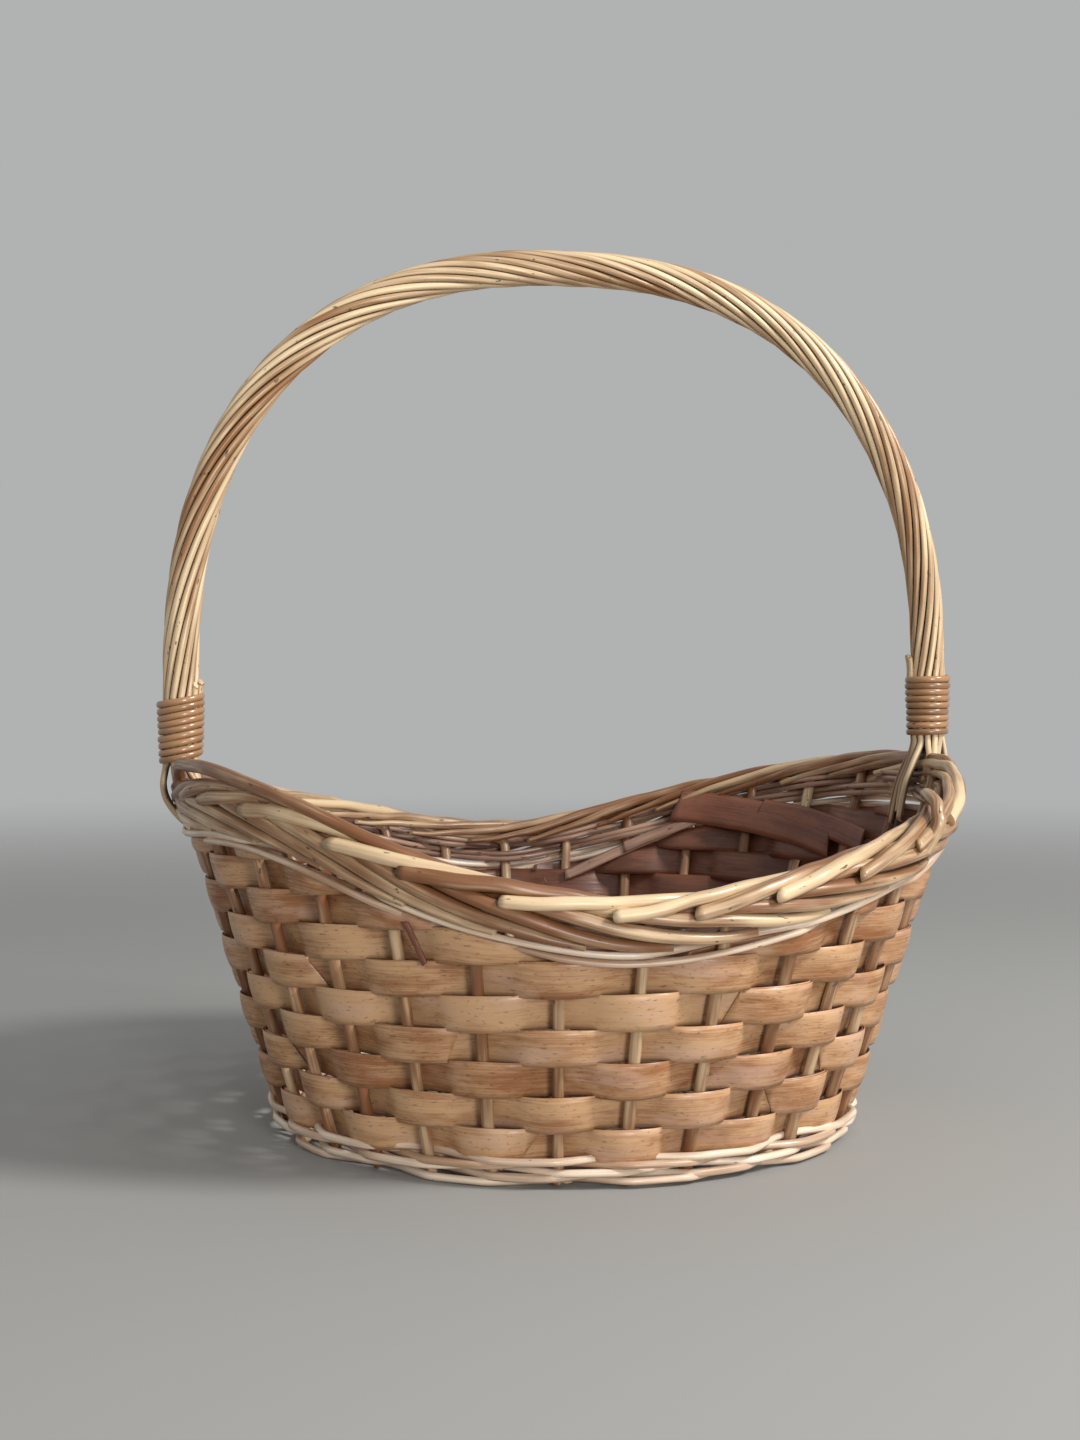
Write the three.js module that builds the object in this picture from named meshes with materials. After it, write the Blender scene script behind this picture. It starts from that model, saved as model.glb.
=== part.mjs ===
// A round easter basket: upright willow stakes woven with flat wood splints, a rim that dips between
// the two feet of a twisted arch handle, and a rim border made by folding the stakes down sideways.
// Millimetres, +Z up, +X through the handle's feet. The origin is under the middle, on the ground.
import * as THREE from "three";

// ---------------------------------------------------------------------------------- driving sizes
const CLEARANCE = 0.35; // between any two pieces that touch on the real basket

const BASE_HALF_LENGTH = 135; // stake line at the ground, towards a handle foot
const BASE_HALF_DEPTH = 140; // stake line at the ground, towards the front
const RIM_HALF_LENGTH = 188; // stake line at RIM_END_HEIGHT, towards a handle foot
const RIM_HALF_DEPTH = 203; // stake line at RIM_END_HEIGHT, towards the front
const RIM_END_HEIGHT = 173; // top of the rim where the handle stands
const RIM_MID_HEIGHT = 130; // top of the rim at its dip, front and back
const RIM_TILT = 5; // how much higher the rim is at the +X foot, and lower at the -X foot
const DIP_ROUNDNESS = 0.3; // the rim's fall is straight at 0, and rounder at the dip above it

const STAKE_COUNT = 30; // an even number, so that plain weave closes on itself
const STAKE_RADIUS = 2.8;
const STAKE_FOOT_HEIGHT = 1.5; // where the stakes start above the ground
const BORDER_UPRIGHTS_PASSED = 2; // uprights that each folded stake runs past
const BORDER_LAY_ALLOWANCE = 0.15; // extra height of a folded stake for lying at a slant
const BORDER_HOOP_RADIUS = 2.8;

const FULL_ROWS = 6; // splint rows that go all the way round
const SHORT_ROWS = 3; // splint rows that only go round an end, above the full rows
const SHORTEST_ROW_REACH = 2; // stake spacings to each side of the end, in the uppermost short row
const SPLINT_THICKNESS = 1.0;
const ROW_GAP = 0.6; // between two neighbouring rows

const WEAVER_RADIUS = 1.6; // thin peeled rods above and below the splints
const RIM_WEAVERS = 2;
const FOOT_WEAVERS = 2;
const FOOT_HOOP_RADIUS = 2.0;

const BASE_PANEL_THICKNESS = 3;
const BASE_PANEL_HEIGHT = 6.5; // underside of the panel
const BASE_STICK_RADIUS = 2.5;
const BASE_STICK_SPACING = 90;

const HANDLE_TOP_HEIGHT = 418; // centre line of the handle
const HANDLE_SPRING_HEIGHT = 214; // where the legs start to curve over
const HANDLE_EXPONENT = 2.36; // squareness of the arch; 2 is an ellipse
const HANDLE_CORE_RADIUS = 3.0;
const HANDLE_ROD_RADIUS = 3.1;
const HANDLE_ROD_COUNT = 6;
const HANDLE_TURNS = 4; // full turns of the rods from one lashing to the other
const HANDLE_ROD_TAIL_OUTSIDE = 21; // how far the outer rod ends reach below the rim's top
const HANDLE_ROD_TAIL_INSIDE = 40; // how far the inner rod ends reach below the rim's top

const LASHING_WIDTH = 3.0; // flat cane, measured along the leg
const LASHING_THICKNESS = 1.4;
const LASHING_TURNS = 8;
const LASHING_RISE = 10; // lowest turn of the lashing above the rim's top

const WILLOW_SIDES = 5; // sides of a long thin rod's section
const COLOURS = {
  stake: [0x9a6f42, 0.55],
  splint: [0xbe966a, 0.6],
  weaver: [0xddc9a6, 0.6],
  border: [0xc39a62, 0.5],
  handle: [0xd3b583, 0.5],
  lashing: [0x97602f, 0.35],
  base: [0xa87c52, 0.65],
};

// ---------------------------------------------------------------------------------- the wall
const TURN = 2 * Math.PI;
const STAKE_ANGLE = TURN / STAKE_COUNT;
const stakeAngle = (i) => (i + 0.5) * STAKE_ANGLE;
const shareOf = (z, low, high) => low + ((high - low) * z) / RIM_END_HEIGHT;
const halfLength = (z) => shareOf(z, BASE_HALF_LENGTH, RIM_HALF_LENGTH);
const halfDepth = (z) => shareOf(z, BASE_HALF_DEPTH, RIM_HALF_DEPTH);
const LENGTH_FLARE = halfLength(1) - halfLength(0); // sideways per millimetre of height
const DEPTH_FLARE = halfDepth(1) - halfDepth(0);
const SLANT = Math.hypot(1, Math.max(LENGTH_FLARE, DEPTH_FLARE)); // level reach per square reach

// The top of the rim above the stake line at an angle round the basket.
function rimHeight(angle) {
  const fall = (share) => Math.hypot(share, DIP_ROUNDNESS) - DIP_ROUNDNESS;
  const rise = fall(Math.cos(angle)) / fall(1);
  const level = RIM_MID_HEIGHT + (RIM_END_HEIGHT - RIM_MID_HEIGHT) * rise;
  return level + RIM_TILT * Math.cos(angle);
}

const footX = (side) => side * halfLength(rimHeight(side > 0 ? 0 : Math.PI));
const MIDDLE_X = (footX(1) + footX(-1)) / 2; // a tilted rim flares further out at its high end

// A point of the stake line, the level direction out of the wall there and the direction up it.
function wallFrame(angle, z) {
  const cos = Math.cos(angle);
  const sin = Math.sin(angle);
  const point = new THREE.Vector3(halfLength(z) * cos - MIDDLE_X, halfDepth(z) * sin, z);
  const out = new THREE.Vector3(halfDepth(z) * cos, halfLength(z) * sin, 0).normalize();
  const up = new THREE.Vector3(LENGTH_FLARE * cos, DEPTH_FLARE * sin, 1).normalize();
  return { point, out, up };
}

// A station of a swept piece: its place, and the direction that the section's first axis takes.
function wallStation(angle, z, outward = 0, across = "up") {
  const wall = wallFrame(angle, z);
  return { place: wall.point.addScaledVector(wall.out, outward), across: wall[across] };
}

// The length of the stake line that one stake spacing takes.
function stakeSpacing(angle, z) {
  const step = new THREE.Vector2(halfLength(z) * Math.sin(angle), halfDepth(z) * Math.cos(angle));
  return step.length() * STAKE_ANGLE;
}

// ---------------------------------------------------------------------------------- sweeping
// A path through given stations, with the section held square to the path at each of them.
class StationPath extends THREE.Curve {
  constructor(stations) {
    super();
    this.stations = stations;
  }
  getPoint(t, target = new THREE.Vector3()) {
    return target.copy(this.stations[Math.round(t * (this.stations.length - 1))].place);
  }
  getPointAt(t, target) {
    return this.getPoint(t, target);
  }
  computeFrenetFrames() {
    const last = this.stations.length - 1;
    const step = (i) => this.stations[i + 1].place.clone().sub(this.stations[i].place).normalize();
    const frames = { tangents: [], normals: [], binormals: [] };
    this.stations.forEach(({ across }, i) => {
      const tangent = step(Math.max(i - 1, 0)).add(step(Math.min(i, last - 1))).normalize();
      const normal = across.clone().addScaledVector(tangent, -across.dot(tangent)).normalize();
      frames.tangents.push(tangent);
      frames.normals.push(normal);
      frames.binormals.push(new THREE.Vector3().crossVectors(tangent, normal));
    });
    return frames;
  }
}

function rodSection(radius, sides = 6, turned = 0) {
  const corners = [];
  for (let i = 0; i < sides; i++) {
    const angle = (i / sides) * TURN + turned;
    corners.push(new THREE.Vector2(radius * Math.cos(angle), radius * Math.sin(angle)));
  }
  return new THREE.Shape(corners);
}

function stripSection(width, thickness) {
  const w = width / 2;
  const t = thickness / 2;
  const corners = [[w, -t], [w, t], [-w, t], [-w, -t]];
  return new THREE.Shape(corners.map(([x, y]) => new THREE.Vector2(x, y)));
}

function sweep(section, stations) {
  const extrudePath = new StationPath(stations);
  return new THREE.ExtrudeGeometry(section, { steps: stations.length - 1, extrudePath });
}

const basket = new THREE.Group();
basket.name = "easter_basket";

function addPiece(name, geometry, colour) {
  const [color, roughness] = COLOURS[colour];
  const material = new THREE.MeshStandardMaterial({ color, roughness, metalness: 0 });
  const mesh = new THREE.Mesh(geometry, material);
  mesh.name = name;
  basket.add(mesh);
  return mesh;
}

// ---------------------------------------------------------------------------------- the border
const FOLD_DEPTH = STAKE_RADIUS; // centre line of a fold's start below the rim's top
const BORDER_OUT = SLANT * (STAKE_RADIUS + CLEARANCE + Math.max(STAKE_RADIUS, HANDLE_CORE_RADIUS));
const BORDER_DROP = 2 * STAKE_RADIUS + CLEARANCE + BORDER_LAY_ALLOWANCE; // in one stake spacing
const TUCK_SHARE = 0.3; // a tail's end, in stake spacings after the last upright that it passes
const BORDER_BAND = FOLD_DEPTH + STAKE_RADIUS + (BORDER_UPRIGHTS_PASSED + TUCK_SHARE) * BORDER_DROP;
const rimWeaverDepth = (n) =>
  BORDER_BAND + CLEARANCE + WEAVER_RADIUS + n * (2 * WEAVER_RADIUS + CLEARANCE);
const SPLINTS_DEPTH = rimWeaverDepth(RIM_WEAVERS - 1) + WEAVER_RADIUS + CLEARANCE;

// A stake runs straight up the wall, then folds over to the right and runs down outside its
// neighbours; its tail is tucked in between two of them.
function stakeStations(index) {
  const start = stakeAngle(index);
  const spacing = stakeSpacing(start, rimHeight(start));
  const tuck = (STAKE_RADIUS + spacing / 2 - HANDLE_CORE_RADIUS) / 2;
  const end = BORDER_UPRIGHTS_PASSED * spacing;
  const stations = [wallStation(start, STAKE_FOOT_HEIGHT, 0, "out")];
  // distance along the rim, share of the way out, height above the fold
  const fold = [
    [0, 0, -2.4 * STAKE_RADIUS],
    [0.1 * STAKE_RADIUS, 0, -0.8 * STAKE_RADIUS],
    [1.1 * STAKE_RADIUS, 0.2, 0],
    [2.6 * STAKE_RADIUS, 0.7, 0],
    [4.1 * STAKE_RADIUS, 1, 0],
  ];
  for (let half = 1; half <= 2 * BORDER_UPRIGHTS_PASSED; half++) {
    fold.push([(half * spacing) / 2, 1, 0]);
  }
  fold.push([end + 0.5 * tuck, 0.85, 0], [end + tuck, 0.1, 0]);
  for (const [along, outShare, rise] of fold) {
    const angle = start + (along / spacing) * STAKE_ANGLE;
    const z = rimHeight(angle) - FOLD_DEPTH - (along / spacing) * BORDER_DROP + rise;
    stations.push(wallStation(angle, z, outShare * BORDER_OUT, "out"));
  }
  return stations;
}

for (let i = 0; i < STAKE_COUNT; i++) {
  const number = String(i + 1).padStart(2, "0");
  addPiece(`stake_${number}`, sweep(rodSection(STAKE_RADIUS, WILLOW_SIDES), stakeStations(i)), "stake");
}

// ---------------------------------------------------------------------------------- rings
const SEAM_SHARE = 0.02; // half the gap at a ring's butt joint, in stake spacings
const STATIONS_ROUND = 2 * STAKE_COUNT; // on every stake and midway between them

// Stations all round the basket, from one side of the seam's stake to the other.
function ringStations(seamStake, stationAt) {
  const stations = [];
  for (let j = 0; j <= STATIONS_ROUND; j++) {
    const nudge = j === 0 ? SEAM_SHARE : j === STATIONS_ROUND ? -SEAM_SHARE : 0;
    stations.push(stationAt(stakeAngle(seamStake + j / 2 + nudge)));
  }
  return stations;
}

// In front of a stake, behind it, or midway: 1, -1 or 0, turned about for every other row.
const weaveSide = (angle, row) => Math.cos((angle / STAKE_ANGLE - 0.5 + row) * Math.PI);
const backStake = (row) => Math.floor(STAKE_COUNT / 4) + ((Math.floor(STAKE_COUNT / 4) + row + 1) % 2);

const WEAVER_OUT = SLANT * (STAKE_RADIUS + WEAVER_RADIUS + CLEARANCE);
function weaverStations(row, heightAt) {
  return ringStations(backStake(row), (angle) =>
    wallStation(angle, heightAt(angle), WEAVER_OUT * weaveSide(angle, row)));
}

const weaverSection = rodSection(WEAVER_RADIUS, WILLOW_SIDES);
for (let n = 0; n < RIM_WEAVERS; n++) {
  const heightAt = (angle) => rimHeight(angle) - rimWeaverDepth(n);
  addPiece(`rim_weaver_${n + 1}`, sweep(weaverSection, weaverStations(n, heightAt)), "weaver");
}

const FOOT_HOOP_HEIGHT = FOOT_HOOP_RADIUS * Math.cos(Math.PI / 6); // it lies on one of its six flats
const FOOT_HOOP_OUT = SLANT * (STAKE_RADIUS + FOOT_HOOP_RADIUS + CLEARANCE);
const footWeaverHeight = (n) =>
  FOOT_HOOP_HEIGHT + FOOT_HOOP_RADIUS + CLEARANCE + WEAVER_RADIUS + n * (2 * WEAVER_RADIUS + CLEARANCE);
const FOOT_TOP = footWeaverHeight(FOOT_WEAVERS - 1) + WEAVER_RADIUS + CLEARANCE;
for (let n = 0; n < FOOT_WEAVERS; n++) {
  const stations = weaverStations(n, () => footWeaverHeight(n));
  addPiece(`foot_weaver_${n + 1}`, sweep(weaverSection, stations), "weaver");
}

// The foot hoop's section stays upright, so that its lowest flat is level all round.
const footHoopStations = ringStations(backStake(0), (angle) => {
  const { place } = wallStation(angle, FOOT_HOOP_HEIGHT, FOOT_HOOP_OUT);
  return { place, across: new THREE.Vector3(0, 0, 1) };
});
addPiece("foot_hoop", sweep(rodSection(FOOT_HOOP_RADIUS, 6, Math.PI / 6), footHoopStations), "weaver");

const BORDER_HOOP_REACH = BORDER_HOOP_RADIUS + CLEARANCE + Math.max(STAKE_RADIUS, HANDLE_CORE_RADIUS);
const BORDER_HOOP_OUT = -SLANT * BORDER_HOOP_REACH;
const borderHoopStations = ringStations(backStake(1), (angle) =>
  wallStation(angle, rimHeight(angle) - BORDER_HOOP_RADIUS, BORDER_HOOP_OUT));
addPiece("border_inner_hoop", sweep(rodSection(BORDER_HOOP_RADIUS), borderHoopStations), "border");

// ---------------------------------------------------------------------------------- splint rows
const splintRoom = (angle) => rimHeight(angle) - SPLINTS_DEPTH - FOOT_TOP;
const TALL_ROWS = FULL_ROWS + SHORT_ROWS;

// Rows lie closer together at the rim's dip than at its high ends, where there are more of them.
function rowPitch(angle) {
  const middle = splintRoom(Math.PI / 2) / FULL_ROWS;
  const reach = SHORTEST_ROW_REACH * STAKE_ANGLE;
  const end = splintRoom(Math.cos(angle) > 0 ? reach : Math.PI - reach) / TALL_ROWS;
  return middle + (end - middle) * Math.cos(angle) ** 2;
}

const narrowestPitch = Math.min(rowPitch(0), rowPitch(Math.PI / 2), rowPitch(Math.PI));
const SPLINT_WIDTH = narrowestPitch - ROW_GAP;
const rowCentre = (angle, row) => FOOT_TOP + (row + 0.5) * rowPitch(angle);

const tightestSpacing = Math.min(stakeSpacing(0, 0), stakeSpacing(Math.PI / 2, 0));
const splintReach = STAKE_RADIUS + CLEARANCE + SPLINT_THICKNESS / 2;
const SPLINT_OUT = SLANT * splintReach * Math.hypot(1, (2 * splintReach) / tightestSpacing);
const splintStation = (angle, row) =>
  wallStation(angle, rowCentre(angle, row), SPLINT_OUT * weaveSide(angle, row));
const splintSection = stripSection(SPLINT_WIDTH, SPLINT_THICKNESS);

for (let row = 0; row < FULL_ROWS; row++) {
  const stations = ringStations(backStake(row), (angle) => splintStation(angle, row));
  addPiece(`splint_row_${row + 1}`, sweep(splintSection, stations), "splint");
}

// A short row goes round one end of the basket as far as there is room for it under the rim.
function shortRowStations(row, side) {
  const middle = side > 0 ? 0 : Math.PI;
  const room = (angle) => splintRoom(angle) - (row + 1) * rowPitch(angle) + ROW_GAP;
  const stations = [];
  for (let j = -STAKE_COUNT / 2; j <= STAKE_COUNT / 2; j++) {
    const angle = middle + (j * STAKE_ANGLE) / 2;
    if (room(angle) >= 0) stations.push(splintStation(angle, row));
  }
  return stations;
}

for (let row = FULL_ROWS; row < TALL_ROWS; row++) {
  for (const [side, end] of [[1, "right"], [-1, "left"]]) {
    const name = `short_splint_${end}_${row - FULL_ROWS + 1}`;
    addPiece(name, sweep(splintSection, shortRowStations(row, side)), "splint");
  }
}

// ---------------------------------------------------------------------------------- the base
const PANEL_INSET = WEAVER_OUT + WEAVER_RADIUS + CLEARANCE + SPLINT_THICKNESS;
const panelHalfLength = BASE_HALF_LENGTH - PANEL_INSET;
const panelHalfDepth = BASE_HALF_DEPTH - PANEL_INSET;
const panelOutline = new THREE.Shape().absellipse(-MIDDLE_X, 0, panelHalfLength, panelHalfDepth, 0, TURN);
const panelOptions = { depth: BASE_PANEL_THICKNESS, bevelEnabled: false, curveSegments: STAKE_COUNT };
const basePanel = addPiece("base_panel", new THREE.ExtrudeGeometry(panelOutline, panelOptions), "base");
basePanel.position.z = BASE_PANEL_HEIGHT;

for (const [side, name] of [[-1, "base_stick_front"], [1, "base_stick_back"]]) {
  const offset = (side * BASE_STICK_SPACING) / 2;
  const length = 2 * panelHalfLength * Math.sqrt(1 - (offset / panelHalfDepth) ** 2);
  const rod = new THREE.CylinderGeometry(BASE_STICK_RADIUS, BASE_STICK_RADIUS, length, 8);
  const stick = addPiece(name, rod, "stake");
  stick.rotation.z = Math.PI / 2;
  stick.position.set(-MIDDLE_X, offset, BASE_PANEL_HEIGHT - CLEARANCE - BASE_STICK_RADIUS);
}

// ---------------------------------------------------------------------------------- the handle
const footTop = (side) => rimHeight(side > 0 ? 0 : Math.PI);
const HALF_SPAN = (footX(1) - footX(-1)) / 2;
const LASHING_PITCH = LASHING_WIDTH + CLEARANCE;
const LASHING_LENGTH = LASHING_TURNS * LASHING_PITCH + LASHING_WIDTH;
const lashingBottom = (side) => footTop(side) + LASHING_RISE;
const lashingTop = (side) => lashingBottom(side) + LASHING_LENGTH;
const ARCH_STEPS = 46;
const ARCH_RISE = HANDLE_TOP_HEIGHT - HANDLE_SPRING_HEIGHT;

// The arch's centre line from the +X foot to the -X foot, with its outward direction.
function archStation(share) {
  const angle = share * Math.PI;
  const power = 2 / HANDLE_EXPONENT;
  const cos = Math.cos(angle);
  const sin = Math.sin(angle);
  const x = HALF_SPAN * Math.sign(cos) * Math.abs(cos) ** power;
  const out = new THREE.Vector3(
    (Math.sign(cos) * Math.abs(cos) ** (2 - power)) / HALF_SPAN,
    0,
    Math.abs(sin) ** (2 - power) / ARCH_RISE,
  ).normalize();
  return { place: new THREE.Vector3(x, 0, HANDLE_SPRING_HEIGHT + ARCH_RISE * Math.abs(sin) ** power), out };
}

// A point of a leg, which stands upright above the rim and leans in with the wall below it.
function legPoint(side, z) {
  const lean = LENGTH_FLARE * Math.max(footTop(side) - z, 0);
  return { place: new THREE.Vector3(side * (HALF_SPAN - lean), 0, z), out: new THREE.Vector3(side, 0, 0) };
}

class ArchCurve extends THREE.Curve {
  getPoint(share) {
    return archStation(share).place;
  }
}

// The whole centre line above the two lashings' lower ends, and how far round the rods have turned.
function handleLine() {
  const arch = new ArchCurve();
  const line = [legPoint(1, lashingBottom(1)), legPoint(1, lashingTop(1))];
  for (let i = 1; i < ARCH_STEPS; i++) {
    const point = archStation(arch.getUtoTmapping(i / ARCH_STEPS));
    const side = point.place.x > 0 ? 1 : -1;
    if (point.place.z > lashingTop(side)) line.push(point);
  }
  line.push(legPoint(-1, lashingTop(-1)), legPoint(-1, lashingBottom(-1)));
  let travelled = 0;
  line.forEach((point, i) => {
    const free = i > 1 && i < line.length - 1;
    if (free) travelled += point.place.distanceTo(line[i - 1].place);
    point.travelled = travelled;
  });
  line.forEach((point) => (point.turned = (TURN * HANDLE_TURNS * point.travelled) / travelled));
  return line;
}

const HANDLE_LINE = handleLine();
const CORE_DEPTH = BORDER_BAND - STAKE_RADIUS; // how far the core's ends are pushed down into the border

const coreFoot = (side) => [0, CORE_DEPTH].map((depth) => legPoint(side, footTop(side) - depth));
const coreLine = [...coreFoot(1).reverse(), ...HANDLE_LINE, ...coreFoot(-1)];
const coreStations = coreLine.map(({ place, out }) => ({ place, across: out }));
addPiece("handle_core", sweep(rodSection(HANDLE_CORE_RADIUS), coreStations), "handle");

const CHORD_ALLOWANCE = 0.4; // a rod's straight steps cut inside its helix by this much
const overCore = HANDLE_CORE_RADIUS + HANDLE_ROD_RADIUS + CLEARANCE + CHORD_ALLOWANCE;
const halfPitch = HANDLE_ROD_RADIUS + (CLEARANCE + CHORD_ALLOWANCE) / 2;
const ROD_OUT = Math.max(overCore, halfPitch / Math.sin(Math.PI / HANDLE_ROD_COUNT));
const HANDLE_RADIUS = ROD_OUT + HANDLE_ROD_RADIUS;
const SPLAY_OUTSIDE = BORDER_OUT + SLANT * (STAKE_RADIUS + CLEARANCE + HANDLE_ROD_RADIUS);
const SPLAY_INSIDE = BORDER_HOOP_OUT - SLANT * (BORDER_HOOP_RADIUS + CLEARANCE + HANDLE_ROD_RADIUS);
const SPLAY_SPACING = 2 * HANDLE_ROD_RADIUS + 3 * CLEARANCE;

// Below a lashing half of the rods spread outside the border and the others inside it. They follow
// the wall's slope down, side by side.
function footStations(side, turned) {
  const start = new THREE.Vector2(ROD_OUT * Math.cos(turned), ROD_OUT * Math.sin(turned));
  const outside = start.x > 0;
  const places = Math.round((3 * start.y) / (2 * ROD_OUT)); // -1, 0 or 1 across the foot
  const goal = new THREE.Vector2(outside ? SPLAY_OUTSIDE : SPLAY_INSIDE, places * SPLAY_SPACING);
  const tail = outside ? HANDLE_ROD_TAIL_OUTSIDE : HANDLE_ROD_TAIL_INSIDE;
  const stations = [];
  for (const [share, drop] of [[0.5, -LASHING_RISE / 2], [1, 0], [1, tail]]) {
    const spread = start.clone().lerp(goal, share);
    const { place, out } = legPoint(side, footTop(side) - drop);
    place.addScaledVector(out, spread.x);
    place.y += spread.y;
    stations.push({ place, across: new THREE.Vector3(0, 1, 0) });
  }
  return stations;
}

function handleRodStations(index) {
  const phase = (index / HANDLE_ROD_COUNT) * TURN;
  const twisted = HANDLE_LINE.map(({ place, out, turned }) => {
    const radial = out.clone().multiplyScalar(Math.cos(turned + phase));
    radial.y = Math.sin(turned + phase);
    return { place: place.clone().addScaledVector(radial, ROD_OUT), across: radial };
  });
  return [...footStations(1, phase).reverse(), ...twisted, ...footStations(-1, phase)];
}

const handleRodSection = rodSection(HANDLE_ROD_RADIUS, WILLOW_SIDES);
for (let i = 0; i < HANDLE_ROD_COUNT; i++) {
  addPiece(`handle_rod_${i + 1}`, sweep(handleRodSection, handleRodStations(i)), "handle");
}

// A lashing is one strip of cane wound round a leg, each turn above the last.
const LASHING_STEPS = 10; // per turn
const LASHING_INNER = (HANDLE_RADIUS + CLEARANCE) / Math.cos(Math.PI / LASHING_STEPS);
const lashingSection = stripSection(LASHING_WIDTH, LASHING_THICKNESS);
for (const [side, name] of [[1, "lashing_right"], [-1, "lashing_left"]]) {
  const stations = [];
  for (let i = 0; i <= LASHING_TURNS * LASHING_STEPS; i++) {
    const angle = (i / LASHING_STEPS) * TURN;
    const reach = LASHING_INNER + LASHING_THICKNESS / 2;
    const z = lashingBottom(side) + LASHING_WIDTH / 2 + (i / LASHING_STEPS) * LASHING_PITCH;
    const place = new THREE.Vector3(reach * Math.cos(angle), reach * Math.sin(angle), z);
    place.x += side * HALF_SPAN;
    stations.push({ place, across: new THREE.Vector3(0, 0, 1) });
  }
  addPiece(name, sweep(lashingSection, stations), "lashing");
}

export default basket;
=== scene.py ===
"""The looks of a willow easter basket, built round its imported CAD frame.

Willow stakes are woven with wide wood splints; the stakes fold down sideways into a thick rim border;
thin peeled rods bind the rim and the foot, and a twisted rod handle is lashed on with cane.
Sizes are millimetres in the CAD frame, turned to metres where a mesh is made.
"""

import math

import bpy
import numpy as np
from mathutils import Matrix, Vector


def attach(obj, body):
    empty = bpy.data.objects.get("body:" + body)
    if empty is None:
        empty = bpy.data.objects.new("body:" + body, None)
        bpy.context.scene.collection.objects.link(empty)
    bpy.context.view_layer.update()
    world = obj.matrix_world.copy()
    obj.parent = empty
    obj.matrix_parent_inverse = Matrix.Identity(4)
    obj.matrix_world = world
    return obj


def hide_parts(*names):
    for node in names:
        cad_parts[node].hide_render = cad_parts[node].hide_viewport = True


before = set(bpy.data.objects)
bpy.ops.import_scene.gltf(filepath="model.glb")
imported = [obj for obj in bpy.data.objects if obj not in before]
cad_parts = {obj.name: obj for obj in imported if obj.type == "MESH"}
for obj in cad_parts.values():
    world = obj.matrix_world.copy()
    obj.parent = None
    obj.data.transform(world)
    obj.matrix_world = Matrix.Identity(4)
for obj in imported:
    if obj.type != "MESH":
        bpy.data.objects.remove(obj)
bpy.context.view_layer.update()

MM = 0.001
TURN = 2 * math.pi
rng = np.random.default_rng(20)

# ------------------------------------------------------------------------------ sizes shared with CAD
BASE_HALF_LENGTH = 135  # stake line at the ground, towards a handle foot
BASE_HALF_DEPTH = 140  # stake line at the ground, towards the front
RIM_HALF_LENGTH = 188  # stake line at RIM_END_HEIGHT, towards a handle foot
RIM_HALF_DEPTH = 203  # stake line at RIM_END_HEIGHT, towards the front
RIM_END_HEIGHT = 173
RIM_MID_HEIGHT = 130
RIM_TILT = 5  # how much higher the rim is at the +X foot
DIP_ROUNDNESS = 0.3
STAKE_COUNT = 30
FULL_ROWS = 6
SHORT_ROWS = 3
SHORTEST_ROW_REACH = 2  # stake spacings to each side of the end, in the uppermost short row
SPLINTS_DEPTH = 27.1  # top of the splints below the rim's top
FOOT_TOP = 11.2  # bottom of the lowest splint row
HANDLE_TOP_HEIGHT = 418
HANDLE_SPRING_HEIGHT = 214
HANDLE_EXPONENT = 2.36
LASHING_RISE = 10  # lowest turn of a lashing above the rim's top
LASHING_LENGTH = 30

# ------------------------------------------------------------------------------ sizes of the looks
STAKE_RADIUS = 2.7
BORDER_RADIUS = 3.0
THIN_ROD_RADIUS = 1.55
FOOT_ROD_RADIUS = 1.75
FOOT_ROD_COUNT = 5
SPLINT_WIDTH = 17.4  # at the crown over a stake
SPLINT_SQUEEZE = 0.7  # how much narrower it is where it crosses between two rows
SPLINT_END_WIDTH = 1.5  # least width of a splint that runs out under the rim
SPLINT_THICKNESS = 0.9
SPLINT_OUT = 3.9  # centre of a splint from the stake line, where it passes a stake
SPLINT_CUP = 0.7  # bulge of a crown's section
SPLINT_STRIPS = 3  # overlapping strips in one full row
HANDLE_ROD_COUNT = 12
CAD_HANDLE_RODS = 6
HANDLE_ROD_RADIUS = 1.76
HANDLE_ROD_OUT = 6.9  # rod centres from the handle's centre line
HANDLE_CORE_RADIUS = 4.9
HANDLE_TURNS = 2.8
HANDLE_TWIST_EASE = 0.15  # the twist is slower near the lashings and faster at the top by this share
FRONT_LEFT_RISE = 11  # the worn rim stands higher at the front left than the even CAD rim
FRONT_RIGHT_FALL = 7  # and lower at the front right
LASHING_TURNS = 9
CANE_WIDTH = 3.24  # along the handle
CANE_THICKNESS = 2.1
STUB_COUNT = 3  # rod ends that stand out of the top of each lashing
STUB_RADIUS = 1.35
RIM_ROD_COUNT = 6
FIRST_PALE_RIM_ROD = 4  # counted from 0: the rods from here down lie below the border
TOP_RIM_ROD_DEPTH = 10.4  # below the rim's top
RIM_ROD_PITCH = 3.4
FOOT_ROD_PITCH = 2.45
BASE_SPOKES = 20
BASE_RINGS = 30
BASE_HEIGHT = 6.6  # centre of the base's sticks
BASE_INSET = 5.5  # edge of the base inside the stake line
BASE_STICK_RADIUS = 2.2
BASE_STICK_SPACING = 5.2  # where the sticks cross in the middle
BASE_RING_RADIUS = 1.7
BASE_RING_SWING = 3.5  # how far a ring passes over and under the sticks' centres
CHIP_THICKNESS = 1.0

# ------------------------------------------------------------------------------ the wall
STAKE_ANGLE = TURN / STAKE_COUNT
LENGTH_FLARE = (RIM_HALF_LENGTH - BASE_HALF_LENGTH) / RIM_END_HEIGHT
DEPTH_FLARE = (RIM_HALF_DEPTH - BASE_HALF_DEPTH) / RIM_END_HEIGHT


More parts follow.
